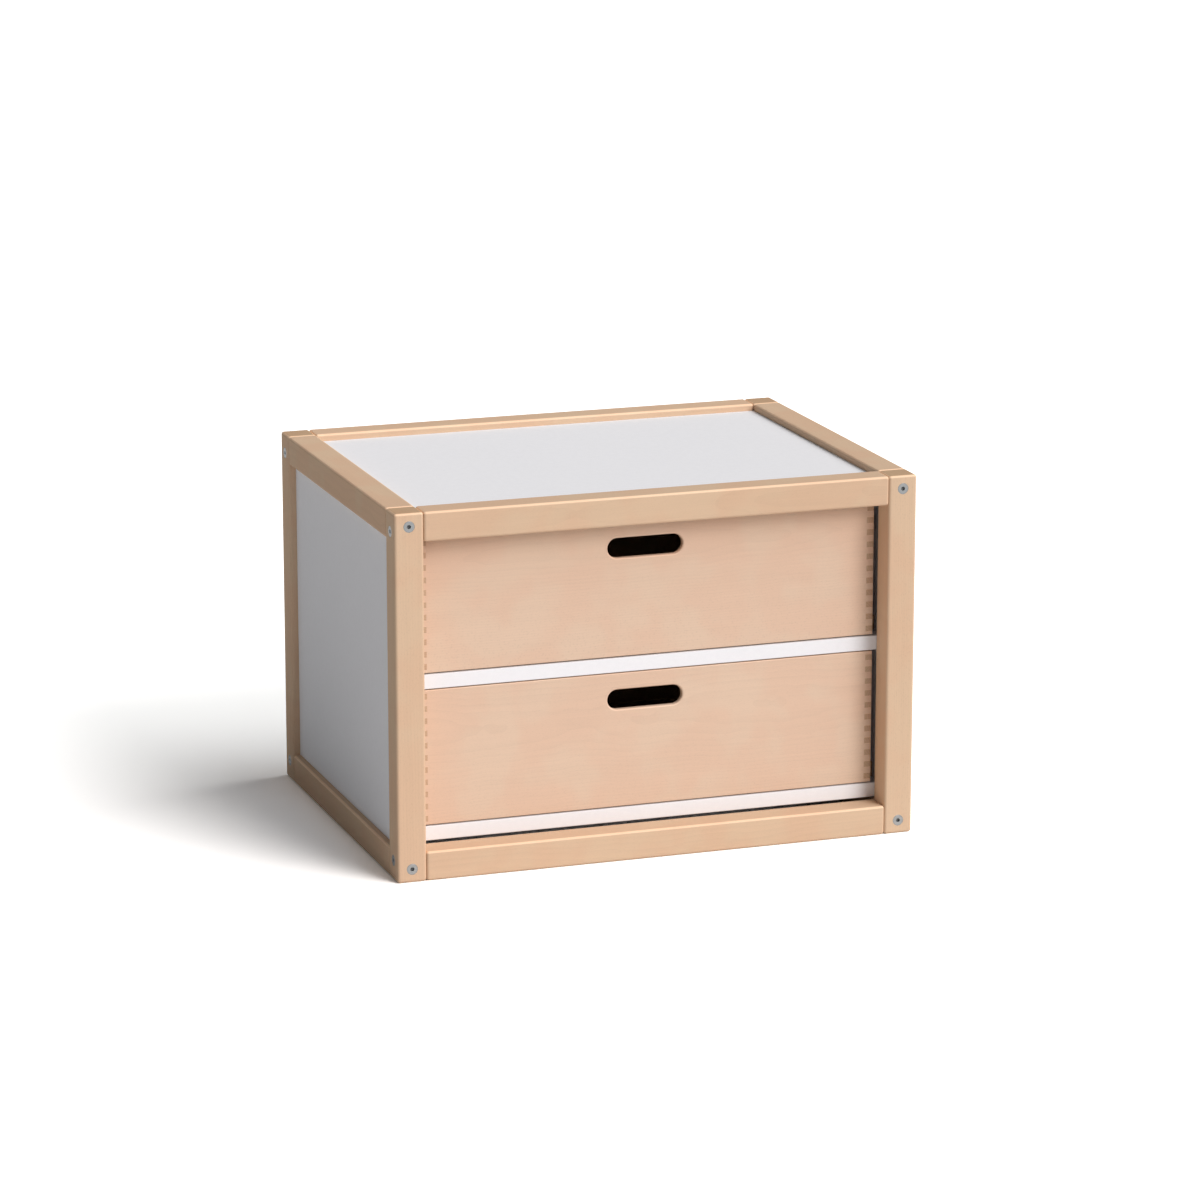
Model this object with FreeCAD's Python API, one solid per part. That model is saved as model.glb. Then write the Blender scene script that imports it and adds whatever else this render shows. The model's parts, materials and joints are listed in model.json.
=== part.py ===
# Drawer unit that stands under a desk: an open frame of square beech bars bolted at the corners,
# white boards housed in grooves of the bars, two white shelves, and on each shelf a beech drawer
# with comb-jointed corners and a long round-ended grip slot.
# Millimetres. Origin at the middle of the footprint on the floor, +X to the right,
# +Y to the back, +Z up. The drawers open towards -Y.

import FreeCAD, Part
import os

V = FreeCAD.Vector

# Overall size
unit_width = 586.0
unit_depth = 440.0
unit_height = 400.0

# Frame bars
bar = 32.0                  # side of the square section
bar_round = 3.0             # rounding of every edge of a bar

# White boards in the frame
panel_thickness = 16.0
panel_inset = 8.0           # from the outer face of the bars to the face of a panel
groove_depth = 6.0
groove_end_gap = 0.5        # between the edge of a panel and the bottom of its groove
groove_side_gap = 0.1       # on each side of a panel in its groove

# Shelves, housed in the side panels
shelf_thickness = 16.0
shelf_lift = 2.0            # lower shelf above the bottom rails
shelf_ease = 1.0            # rounding of the long front and rear edges
housing_depth = 5.0
housing_end_gap = 0.5
housing_side_gap = 0.1
shelf_post_gap = 0.5        # between a shelf and the front and rear posts

# Drawers
drawer_side_gap = 4.0       # between a drawer and the post beside it
running_gap = 0.3           # under the glides
headroom_under_shelf = 1.2  # above the lower drawer
headroom_under_rail = 2.2   # above the upper drawer
wall = 8.0                  # drawer front, back and sides
wall_ease = 1.0             # rounding of the long top edges
finger_count = 11           # side fingers in each comb joint
bottom_thickness = 5.0
bottom_lift = 8.0           # drawer bottom above the lower edge of the walls
bottom_groove_depth = 4.0
bottom_end_gap = 0.3
bottom_side_gap = 0.1

# Grip slot in each drawer front
grip_length = 85.0
grip_height = 22.0
grip_from_top = 18.0
grip_offset = -5.0          # from the middle of the drawer, to the left
grip_rim = 2.0              # rounding of the rim, outside and inside

# Glides under the drawer sides
glide_width = 6.0
glide_thickness = 1.5
glide_setback = 15.0        # from the front and the back of the drawer

# Guide strips beside the drawers
guide_gap = 0.6             # between a guide and the drawer side
guide_height = 16.0
guide_setback = 25.0        # behind the front edge of the shelf
guide_screw_count = 3
guide_screw_from_end = 30.0
guide_screw_length = 25.0

# Stop strips behind the drawers
stop_width = 120.0
stop_depth = 12.0
stop_height = 18.0
stop_gap = 0.3
stop_screw_from_end = 20.0
stop_screw_length = 30.0

# Countersunk wood screws of the guides and stops
screw_d = 3.5
screw_head_d = 7.0
screw_head_land = 0.2       # straight rim of the head
screw_hole_gap = 0.05

# Countersunk frame bolts with a hexagon socket, and the threaded inserts that they screw into
bolt_d = 6.0
bolt_length = 50.0
bolt_head_d = 12.0
bolt_head_land = 0.4        # straight rim of the head
bolt_hole_gap = 0.2         # around the shank
bolt_head_gap = 0.1         # around the head
bolt_tip_gap = 2.0          # hole beyond the tip
bolt_web = 1.0              # between two bolts that cross in a post
socket_flats = 4.0
socket_depth = 2.5
insert_wall = 1.0
insert_length = 15.0
insert_setback = 2.0        # below the end face of the rail
insert_thread_gap = 0.05    # around the bolt
insert_hole_gap = 0.05      # around the insert
insert_cover = 0.5          # wood between an insert and the nearest panel groove

# Dowels that keep the front and rear rails from turning on their bolts
dowel_d = 6.0
dowel_in_rail = 10.0
dowel_from_face = 10.0
dowel_from_end = 9.0
dowel_web = 2.8             # wood between a dowel and the bolt that crosses behind it
dowel_gap = 0.05            # around a dowel
dowel_end_gap = 0.5         # beyond each end of a dowel

# Worked out from the sizes above
half_width = unit_width / 2
half_depth = unit_depth / 2
clear_half_width = half_width - bar
clear_half_depth = half_depth - bar
panel_reach = groove_depth - groove_end_gap
side_panel_face = half_width - panel_inset - panel_thickness
shelf_half_depth = clear_half_depth - shelf_post_gap
bolt_r = bolt_d / 2
insert_r = bolt_r + insert_wall
width_bolt_from_end = bar - groove_depth - insert_cover - insert_r
depth_bolt_from_end = width_bolt_from_end - bolt_d - bolt_web
dowel_in_post = bar / 2 - bolt_r - dowel_web - bolt_hole_gap

lower_shelf_z = bar + shelf_lift
glide_stand = running_gap + glide_thickness
drawer_stack = unit_height - bar - lower_shelf_z - 2 * shelf_thickness - 2 * glide_stand
drawer_height = (drawer_stack - headroom_under_shelf - headroom_under_rail) / 2
lower_drawer_z = lower_shelf_z + shelf_thickness + glide_stand
middle_shelf_z = lower_drawer_z + drawer_height + headroom_under_shelf
upper_drawer_z = middle_shelf_z + shelf_thickness + glide_stand
drawer_half_width = clear_half_width - drawer_side_gap
drawer_front_y = -shelf_half_depth
drawer_rear_y = shelf_half_depth - stop_depth - stop_gap
finger_pitch = drawer_height / finger_count

LEFT, RIGHT = -1, 1
FRONT, REAR = -1, 1
SIDES = {"left": LEFT, "right": RIGHT}
FACES = {"front": FRONT, "rear": REAR}
LEVELS = ("bottom", "top")


def block(x, y, z):
    """A box from three (low, high) pairs."""
    size = (x[1] - x[0], y[1] - y[0], z[1] - z[0])
    return Part.makeBox(*size, V(x[0], y[0], z[0]))


def inward(side, half, near, far):
    """(low, high) of a stretch measured inwards from the outer face on one side."""
    ends = (side * (half - near), side * (half - far))
    return (min(ends), max(ends))


def height(level, distance):
    """Z of a point at a distance from the bottom or the top end of the unit."""
    return distance if level == "bottom" else unit_height - distance


def stretch(level, near, far):
    """(low, high) in Z of a stretch measured from the bottom or the top end of the unit."""
    ends = (height(level, near), height(level, far))
    return (min(ends), max(ends))


def rounded_bar(x, y, z):
    solid = block(x, y, z)
    return solid.makeFillet(bar_round, solid.Edges)


def turned(points, start, direction):
    """A turned solid from (distance along the axis, radius) points, placed at start."""
    outline = [V(along, radius, 0) for along, radius in points]
    face = Part.Face(Part.makePolygon(outline + outline[:1]))
    solid = face.revolve(V(0, 0, 0), V(1, 0, 0), 360)
    solid.Placement = FreeCAD.Placement(start, FreeCAD.Rotation(V(1, 0, 0), direction))
    return solid


def countersunk(start, direction, shank_r, head_r, land, length):
    """Shape of a countersunk screw whose flat head lies at start."""
    cone_end = land + head_r - shank_r
    points = [(0, 0), (0, head_r), (land, head_r), (cone_end, shank_r), (length, shank_r), (length, 0)]
    return turned(points, start, direction)


def rod(start, direction, radius, length):
    return Part.makeCylinder(radius, length, start, direction)


# White panels and the grooves that hold them

def upright_panel(axis, side, reach, side_gap):
    """Side panel (axis x) or back panel (axis y), or the space that its grooves leave for it."""
    height_range = (bar - reach, unit_height - bar + reach)
    near = panel_inset - side_gap
    far = panel_inset + panel_thickness + side_gap
    if axis == "x":
        half = clear_half_depth + reach
        return block(inward(side, half_width, near, far), (-half, half), height_range)
    half = clear_half_width + reach
    return block((-half, half), inward(side, half_depth, near, far), height_range)


def top_board(reach, side_gap, corner_gap):
    """Top panel with its corners cut out around the posts, or the space for it."""
    low = unit_height - panel_inset - panel_thickness - side_gap
    high = unit_height - panel_inset + side_gap
    wide = clear_half_width + reach
    deep = clear_half_depth + reach
    narrow = clear_half_width - corner_gap
    shallow = clear_half_depth - corner_gap
    across = block((-wide, wide), (-shallow, shallow), (low, high))
    along = block((-narrow, narrow), (-deep, deep), (low, high))
    return across.fuse(along).removeSplitter()


def side_groove(side):
    return upright_panel("x", side, groove_depth, groove_side_gap)


def back_groove():
    return upright_panel("y", REAR, groove_depth, groove_side_gap)


def top_groove():
    return top_board(groove_depth, groove_side_gap, 0)


def shelf(low, end_gap, side_gap):
    """A shelf, or the space that its housings leave for it."""
    half = side_panel_face + housing_depth - end_gap
    return block((-half, half), (-shelf_half_depth, shelf_half_depth),
                 (low - side_gap, low + shelf_thickness + side_gap))


def shelf_board(low):
    board = shelf(low, housing_end_gap, 0)
    long_edges = [edge for edge in board.Edges
                  if abs(edge.CenterOfMass.y) > shelf_half_depth - shelf_ease
                  and abs(edge.CenterOfMass.x) < shelf_ease]
    return board.makeFillet(shelf_ease, long_edges)


def side_panel(side):
    panel = upright_panel("x", side, panel_reach, 0)
    # The housings run the full depth of the panel, past the ends of the shelves.
    inner = inward(side, side_panel_face, -housing_depth, 0)
    half = clear_half_depth + panel_reach
    for low in (lower_shelf_z, middle_shelf_z):
        levels = (low - housing_side_gap, low + shelf_thickness + housing_side_gap)
        panel = panel.cut(block(inner, (-half, half), levels))
    for screw in guide_screws(side, screw_hole_gap):
        panel = panel.cut(screw)
    return panel


# Bolts, inserts and dowels of the corners

def depth_bolt_points():
    """Heads on the front and rear faces of the posts, with the direction of each bolt."""
    x = half_width - bar / 2
    return [(V(side * x, face * half_depth, height(level, depth_bolt_from_end)), V(0, -face, 0))
            for side in (LEFT, RIGHT) for face in (FRONT, REAR) for level in LEVELS]


def width_bolt_points():
    """Heads on the left and right faces of the posts, with the direction of each bolt."""
    y = half_depth - bar / 2
    return [(V(side * half_width, face * y, height(level, width_bolt_from_end)), V(-side, 0, 0))
            for side in (LEFT, RIGHT) for face in (FRONT, REAR) for level in LEVELS]


def bolt(start, direction):
    solid = countersunk(start, direction, bolt_r, bolt_head_d / 2, bolt_head_land, bolt_length)
    sixth = FreeCAD.Rotation(V(1, 0, 0), 60)
    corner = V(0, 0, socket_flats / 3 ** 0.5)
    corners = [corner]
    for _ in range(5):
        corners.append(sixth.multVec(corners[-1]))
    socket = Part.Face(Part.makePolygon(corners + corners[:1])).extrude(V(socket_depth, 0, 0))
    socket.Placement = FreeCAD.Placement(start, FreeCAD.Rotation(V(1, 0, 0), direction))
    return solid.cut(socket)


def bolt_hole(start, direction):
    """Countersunk hole through a post and on into the end of a rail."""
    hole = countersunk(start, direction, bolt_r + bolt_hole_gap, bolt_head_d / 2 + bolt_head_gap,
                       bolt_head_land, bolt_length + bolt_tip_gap)
    pocket_start = start + direction * (bar + insert_setback)
    pocket = rod(pocket_start, direction, insert_r + insert_hole_gap, insert_length)
    return hole.fuse(pocket)


def insert(start, direction):
    seat = start + direction * (bar + insert_setback)
    sleeve = rod(seat, direction, insert_r, insert_length)
    return sleeve.cut(rod(seat, direction, bolt_r + insert_thread_gap, insert_length))


def dowel_points():
    """Middle of each dowel's joint face, where a rail end meets its post."""
    y = half_depth - dowel_from_face
    return [(V(side * clear_half_width, face * y, height(level, dowel_from_end)), V(-side, 0, 0))
            for side in (LEFT, RIGHT) for face in (FRONT, REAR) for level in LEVELS]


def dowel(face_point, direction, around, beyond):
    start = face_point - direction * (dowel_in_post + beyond)
    length = dowel_in_post + dowel_in_rail + 2 * beyond
    return rod(start, direction, dowel_d / 2 + around, length)


def corner_holes():
    bolts = [bolt_hole(*place) for place in depth_bolt_points() + width_bolt_points()]
    dowels = [dowel(point, way, dowel_gap, dowel_end_gap) for point, way in dowel_points()]
    return bolts + dowels


def drilled(solid, holes):
    """Cuts only the holes that reach into this solid."""
    near = [hole for hole in holes if solid.BoundBox.intersect(hole.BoundBox)]
    return solid.cut(near) if near else solid


# Frame bars

def post(side, face, holes):
    solid = rounded_bar(inward(side, half_width, 0, bar), inward(face, half_depth, 0, bar),
                        (0, unit_height))
    solid = solid.cut(side_groove(side))
    if face == REAR:
        solid = solid.cut(back_groove())
    return drilled(solid, holes)


def cross_rail(face, level, holes):
    """Front or rear rail, between two posts."""
    solid = rounded_bar((-clear_half_width, clear_half_width), inward(face, half_depth, 0, bar),
                        stretch(level, 0, bar))
    if level == "top":
        solid = solid.cut(top_groove())
    if face == REAR:
        solid = solid.cut(back_groove())
    return drilled(solid, holes)


def side_rail(side, level, holes):
    solid = rounded_bar(inward(side, half_width, 0, bar), (-clear_half_depth, clear_half_depth),
                        stretch(level, 0, bar))
    solid = solid.cut(side_groove(side))
    if level == "top":
        solid = solid.cut(top_groove())
    return drilled(solid, holes)


# Guides and stops

def guide_y():
    return (-shelf_half_depth + guide_setback, shelf_half_depth)


def guide_blank(side, floor):
    inner = drawer_half_width + guide_gap
    return block(inward(side, side_panel_face, 0, side_panel_face - inner), guide_y(),
                 (floor, floor + guide_height))


def shelf_tops():
    return {"lower": lower_shelf_z + shelf_thickness, "upper": middle_shelf_z + shelf_thickness}


def guide_screws(side, around):
    """Screws through the guides on one side of the unit into the side panel."""
    first, last = guide_y()[0] + guide_screw_from_end, guide_y()[1] - guide_screw_from_end
    step = (last - first) / (guide_screw_count - 1)
    start_x = side * (drawer_half_width + guide_gap)
    return [countersunk(V(start_x, first + k * step, floor + guide_height / 2), V(side, 0, 0),
                        screw_d / 2 + around, screw_head_d / 2 + around, screw_head_land,
                        guide_screw_length)
            for floor in shelf_tops().values() for k in range(guide_screw_count)]


def guide(side, floor):
    return drilled(guide_blank(side, floor), guide_screws(side, screw_hole_gap))


def stop_screws(around):
    """Screws down through the stops into the shelves."""
    y = shelf_half_depth - stop_depth / 2
    x = stop_width / 2 - stop_screw_from_end
    return [countersunk(V(side * x, y, floor + stop_height), V(0, 0, -1),
                        screw_d / 2 + around, screw_head_d / 2 + around, screw_head_land,
                        stop_screw_length)
            for floor in shelf_tops().values() for side in (LEFT, RIGHT)]


def stop(floor):
    blank = block((-stop_width / 2, stop_width / 2), (shelf_half_depth - stop_depth, shelf_half_depth),
                  (floor, floor + stop_height))
    return drilled(blank, stop_screws(screw_hole_gap))


# Drawers

def side_fingers(floor):
    """(low, high) of each finger of a drawer side, one in the middle of every pitch."""
    return [(floor + (k + 0.25) * finger_pitch, floor + (k + 0.75) * finger_pitch)
            for k in range(finger_count)]


def end_fingers(floor):
    """(low, high) of each finger of a drawer front or back, with half a finger at both ends."""
    sides = side_fingers(floor)
    lows = [floor] + [high for _, high in sides]
    highs = [low for low, _ in sides] + [floor + drawer_height]
    return list(zip(lows, highs))


def eased_wall(x, y, floor):
    """A drawer wall with its two long top edges rounded."""
    solid = block(x, y, (floor, floor + drawer_height))
    longest = max(x[1] - x[0], y[1] - y[0])
    top_edges = [edge for edge in solid.Edges
                 if edge.CenterOfMass.z > floor + drawer_height - wall_ease
                 and edge.Length > longest - wall_ease]
    return solid.makeFillet(wall_ease, top_edges)


def wall_y(face):
    """(low, high) in Y of the front or the back of a drawer."""
    if face == FRONT:
        return (drawer_front_y, drawer_front_y + wall)
    return (drawer_rear_y - wall, drawer_rear_y)


def drawer_bottom(floor, end_gap, side_gap):
    """The bottom of a drawer, or the space that its grooves leave for it."""
    reach = bottom_groove_depth - end_gap
    half = drawer_half_width - wall + reach
    return block((-half, half), (drawer_front_y + wall - reach, drawer_rear_y - wall + reach),
                 (floor + bottom_lift - side_gap, floor + bottom_lift + bottom_thickness + side_gap))


def end_wall(face, floor):
    """Front or back of a drawer, cut for the fingers of the sides."""
    y = wall_y(face)
    solid = eased_wall((-drawer_half_width, drawer_half_width), y, floor)
    notches = [block(inward(side, drawer_half_width, 0, wall), y, finger)
               for side in (LEFT, RIGHT) for finger in side_fingers(floor)]
    return solid.cut(notches).cut(drawer_bottom(floor, 0, bottom_side_gap))


def side_wall(side, floor):
    """Side of a drawer, cut for the fingers of the front and the back."""
    x = inward(side, drawer_half_width, 0, wall)
    solid = eased_wall(x, (drawer_front_y, drawer_rear_y), floor)
    notches = [block(x, wall_y(face), finger)
               for face in (FRONT, REAR) for finger in end_fingers(floor)]
    return solid.cut(notches).cut(drawer_bottom(floor, 0, bottom_side_gap))


def grip_cutter(floor):
    """Round-ended slot through the drawer front."""
    radius = grip_height / 2
    middle_z = floor + drawer_height - grip_from_top - radius
    straight = grip_length / 2 - radius
    y = drawer_front_y
    left = V(grip_offset - straight, y, middle_z)
    right = V(grip_offset + straight, y, middle_z)
    up = V(0, 0, radius)
    out = V(radius, 0, 0)
    edges = [Part.LineSegment(left + up, right + up).toShape(),
             Part.Arc(right + up, right + out, right - up).toShape(),
             Part.LineSegment(right - up, left - up).toShape(),
             Part.Arc(left - up, left - out, left + up).toShape()]
    return Part.Face(Part.Wire(edges)).extrude(V(0, wall, 0))


def drawer_front(floor):
    solid = end_wall(FRONT, floor)
    slot = grip_cutter(floor)
    solid = solid.cut(slot)
    # The rim edges are the slot's own edges in the two faces of the front.
    room = slot.BoundBox
    rim = [edge for edge in solid.Edges
           if room.isInside(edge.BoundBox) and edge.BoundBox.YLength < wall / 2]
    return solid.makeFillet(min(grip_rim, 0.45 * wall), rim)


def glides(floor):
    x = drawer_half_width - wall / 2
    y = (drawer_front_y + glide_setback, drawer_rear_y - glide_setback)
    return [block((side * x - glide_width / 2, side * x + glide_width / 2), y,
                  (floor - glide_thickness, floor)) for side in (LEFT, RIGHT)]


def drawer(name, floor):
    return {
        name + "_drawer_front": drawer_front(floor),
        name + "_drawer_back": end_wall(REAR, floor),
        name + "_drawer_left_side": side_wall(LEFT, floor),
        name + "_drawer_right_side": side_wall(RIGHT, floor),
        name + "_drawer_bottom": drawer_bottom(floor, bottom_end_gap, 0),
        name + "_drawer_glides": Part.Compound(glides(floor)),
    }


# The whole unit

def frame_bars():
    holes = corner_holes()
    bars = {}
    for face_name, face in FACES.items():
        for side_name, side in SIDES.items():
            bars[face_name + "_" + side_name + "_post"] = post(side, face, holes)
        for level in LEVELS:
            bars[level + "_" + face_name + "_rail"] = cross_rail(face, level, holes)
    for side_name, side in SIDES.items():
        for level in LEVELS:
            bars[level + "_" + side_name + "_rail"] = side_rail(side, level, holes)
    return bars


def corner_hardware():
    depth_places = depth_bolt_points()
    width_places = width_bolt_points()
    return {
        "depth_bolts": Part.Compound([bolt(*place) for place in depth_places]),
        "width_bolts": Part.Compound([bolt(*place) for place in width_places]),
        "depth_inserts": Part.Compound([insert(*place) for place in depth_places]),
        "width_inserts": Part.Compound([insert(*place) for place in width_places]),
        "rail_dowels": Part.Compound([dowel(*place, 0, 0) for place in dowel_points()]),
    }


def boards():
    stop_holes = stop_screws(screw_hole_gap)
    return {
        "top_panel": top_board(panel_reach, 0, groove_end_gap),
        "left_panel": side_panel(LEFT),
        "right_panel": side_panel(RIGHT),
        "back_panel": upright_panel("y", REAR, panel_reach, 0),
        "middle_shelf": drilled(shelf_board(middle_shelf_z), stop_holes),
        "lower_shelf": drilled(shelf_board(lower_shelf_z), stop_holes),
    }


def guides_and_stops():
    pieces = {}
    for name, floor in shelf_tops().items():
        for side_name, side in SIDES.items():
            pieces[name + "_" + side_name + "_guide"] = guide(side, floor)
        pieces[name + "_stop"] = stop(floor)
    pieces["guide_screws"] = Part.Compound(guide_screws(LEFT, 0) + guide_screws(RIGHT, 0))
    pieces["stop_screws"] = Part.Compound(stop_screws(0))
    return pieces


def main():
    os.makedirs("parts", exist_ok=True)
    pieces = {}
    pieces.update(frame_bars())
    pieces.update(corner_hardware())
    pieces.update(boards())
    pieces.update(guides_and_stops())
    pieces.update(drawer("upper", upper_drawer_z))
    pieces.update(drawer("lower", lower_drawer_z))
    for name, shape in pieces.items():
        shape.exportStep("parts/" + name + ".step")
    print(len(pieces), "nodes; drawer height", round(drawer_height, 2))


main()
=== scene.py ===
"""Looks of the under-desk drawer unit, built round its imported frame, in metres and in the frame's axes.

Posts, rails, white boards and the small hidden pieces keep the frame's shapes and are given their finishes.
The comb-jointed drawer walls, the frame bolts and the wood screws are grown by geometry nodes where the
frame has their plain solids.
"""
import json
import math
import random

import bpy
from bpy.props import FloatProperty, FloatVectorProperty, IntProperty, PointerProperty
from bpy.types import Operator, Panel, PropertyGroup
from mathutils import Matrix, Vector


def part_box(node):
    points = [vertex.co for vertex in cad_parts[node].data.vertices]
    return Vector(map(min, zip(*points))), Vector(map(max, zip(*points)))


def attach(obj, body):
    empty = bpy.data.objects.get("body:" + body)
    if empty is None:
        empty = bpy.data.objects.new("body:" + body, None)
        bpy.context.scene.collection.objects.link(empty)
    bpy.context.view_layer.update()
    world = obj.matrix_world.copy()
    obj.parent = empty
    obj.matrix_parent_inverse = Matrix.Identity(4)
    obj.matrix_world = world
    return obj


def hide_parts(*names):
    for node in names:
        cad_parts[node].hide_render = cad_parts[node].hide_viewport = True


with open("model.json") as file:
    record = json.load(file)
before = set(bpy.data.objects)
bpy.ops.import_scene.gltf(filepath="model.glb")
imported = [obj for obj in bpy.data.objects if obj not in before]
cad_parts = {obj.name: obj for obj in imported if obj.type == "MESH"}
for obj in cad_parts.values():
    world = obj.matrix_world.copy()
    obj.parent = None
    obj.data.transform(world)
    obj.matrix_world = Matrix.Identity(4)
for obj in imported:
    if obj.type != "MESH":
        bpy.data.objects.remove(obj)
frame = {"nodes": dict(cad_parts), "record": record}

bl_info = {
    "name": "Under-desk drawer unit",
    "version": (1, 0, 0),
    "blender": (4, 5, 0),
    "location": "3D View > Sidebar > Drawer Unit",
    "description": "Finishes, drawer walls and fasteners of a bolted beech drawer unit",
    "category": "Add Mesh",
}

MM = 0.001
HAIR = 0.01 * MM  # less than this apart is the same place
FULL_TURN = 2.0 * math.pi
RECORD = frame["record"]
SLOT_OF = {part["node"]: part["material_slot"] for part in RECORD["subparts"]}
BODY_OF = {node: body for body, nodes in RECORD["behaviour"]["bodies"].items() for node in nodes}
MIDDLE_OF_OPENING = {
    opening["name"]: (Vector(opening["box_m"][0]) + Vector(opening["box_m"][1])) / 2
    for opening in RECORD["physics"]["openings"]
}
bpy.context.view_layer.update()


def extent(node):
    """Size of a frame node along X, Y and Z."""
    low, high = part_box(node)
    return high - low


def nodes_in(slot):
    """Frame nodes that take their finish from a slot of the record."""
    return [node for node, held in SLOT_OF.items() if held == slot]


WALL = extent("lower_drawer_front").y
GUIDE_HEIGHT = extent("lower_left_guide").z
SCREW_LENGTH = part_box("guide_screws")[1].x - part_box("lower_right_guide")[0].x
STOP_SCREW_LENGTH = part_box("lower_stop")[1].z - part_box("stop_screws")[0].z


def length(name, description, default):
    """A size that a user can change, in metres."""
    return FloatProperty(
        name=name, description=description, default=default, min=0.0, soft_max=1.0,
        precision=4, subtype="DISTANCE", unit="LENGTH",
    )


def share(name, description, default):
    """A strength from nothing to full."""
    return FloatProperty(
        name=name, description=description, default=default, min=0.0, max=1.0, subtype="FACTOR",
    )


def colour(name, description, default):
    """A colour that a user can change."""
    return FloatVectorProperty(
        name=name, description=description, default=default, size=3, min=0.0, max=1.0, subtype="COLOR",
    )


def angle(name, description, degrees):
    """An angle that a user can change."""
    return FloatProperty(
        name=name, description=description, default=math.radians(degrees), subtype="ANGLE", unit="ROTATION",
    )


def strength(name, description, default):
    """A strength with no upper end."""
    return FloatProperty(name=name, description=description, default=default, min=0.0, soft_max=5.0)


class BeechSettings(PropertyGroup):
    """Colours and figure of the beech"""
    bar_tone: colour("Bars", "Lacquered beech of the posts and rails", (0.730, 0.532, 0.372))
    wall_tone: colour("Drawers", "Lacquered beech of the drawer walls", (0.775, 0.582, 0.445))
    hidden_tone: colour("Inner Parts", "Bare beech of the guides, stops and dowels", (0.620, 0.440, 0.290))
    rosy: colour("Rosy Patches", "Tint of the redder patches of the wood", (1.0, 0.955, 0.945))
    end_grain: colour("End Grain", "How much darker the cut ends are", (0.80, 0.75, 0.68))
    ring_width: length("Ring Width", "One year's growth", 2.6 * MM)
    ring_depth: share("Ring Depth", "How dark the late wood of a ring is", 0.03)
    ray_depth: share("Ray Depth", "How dark the short ray flecks are", 0.05)
    # Painted highlight: how much paler the upper rounded edges are painted, standing in for the lamp's light
    # catching them
    edge_highlight_paint: share("Edge Highlight", "How much paler the highlighted upper edges are", 0.36)
    gloss: share("Roughness", "Roughness of the clear satin lacquer", 0.45)


class BoardSettings(PropertyGroup):
    """Colour and surface of the white boards"""
    tone: colour("White", "White melamine of the panels and shelves", (0.915, 0.922, 0.960))
    pearl: length("Pearl Size", "Width of one grain of the pearled surface", 1.1 * MM)
    pearl_height: length("Pearl Height", "Depth of the pearled surface", 0.03 * MM)
    band: length("Edge Band", "Thickness of the white band glued to a shelf's front edge", 1.0 * MM)
    gloss: share("Roughness", "Roughness of the melamine", 0.46)


class WallSettings(PropertyGroup):
    """Sizes of a drawer wall"""
    fingers: IntProperty(
        name="Fingers", description="Fingers of a drawer side in each comb joint", default=11, min=2,
    )
    grip_length: length("Grip Length", "Length of the grip slot", 85 * MM)
    grip_height: length("Grip Height", "Height of the grip slot", 22 * MM)
    grip_rim: length("Grip Rim", "Rounding of the grip slot's rim", 2 * MM)
    groove_depth: length("Groove Depth", "Depth of the groove that holds the drawer bottom", WALL / 2)
    groove_ease: length("Groove Ease", "Room above and below the drawer bottom in its groove", 0.1 * MM)
    top_ease: length("Top Edges", "Rounding of the long upper edges", 1 * MM)
    edge_ease: length("Other Edges", "Rounding of the joint and lower edges", 0.3 * MM)


class BoltSettings(PropertyGroup):
    """Sizes of a frame bolt"""
    head: length("Head", "Diameter of the countersunk head", 12 * MM)
    land: length("Land", "Straight rim of the head", 0.4 * MM)
    shank: length("Shank", "Diameter of the shank", 6 * MM)
    reach: length("Length", "Length of a bolt, head included", 50 * MM)
    recess: length("Socket", "Hexagon socket across flats", 4 * MM)
    recess_depth: length("Socket Depth", "Depth of the hexagon socket", 2.5 * MM)
    pitch: length("Pitch", "Rise of one turn of the thread", 1 * MM)
    threaded: length("Threaded Length", "Length of the thread", 28 * MM)
    point: length("Point", "Length over which the end tapers", 1 * MM)


class ScrewSettings(PropertyGroup):
    """Sizes of a wood screw"""
    head: length("Head", "Diameter of the countersunk head", 7 * MM)
    land: length("Land", "Straight rim of the head", 0.2 * MM)
    shank: length("Shank", "Diameter of the thread", 3.5 * MM)
    reach: length("Guide Screw Length", "Length of a screw that holds a guide", SCREW_LENGTH)
    stop_reach: length("Stop Screw Length", "Length of a screw that holds a stop", STOP_SCREW_LENGTH)
    recess: length("Cross", "Cross recess from tip to tip", 4 * MM)
    recess_depth: length("Cross Depth", "Depth of the cross recess", 1.6 * MM)
    pitch: length("Pitch", "Rise of one turn of the thread", 1.8 * MM)
    thread_from: length("Thread From", "From the top of the head to the thread", 6 * MM)
    point: length("Point", "Length of the pointed end", 4 * MM)
    from_end: length("From Guide End", "From the end of a guide to its first screw", 30 * MM)
    from_stop_end: length("From Stop End", "From the end of a stop to its screw", 20 * MM)


class MetalSettings(PropertyGroup):
    """Colours of the metal pieces and the nylon"""
    zinc: colour("Zinc", "Clear zinc plating of the bolts and screws", (0.245, 0.255, 0.26))
    yellow_zinc: colour("Yellow Zinc", "Yellow zinc plating of the inserts", (0.60, 0.50, 0.27))
    nylon: colour("Nylon", "Nylon of the glide strips", (0.80, 0.80, 0.77))
    gloss: share("Roughness", "Roughness of the plating", 0.36)


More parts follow.
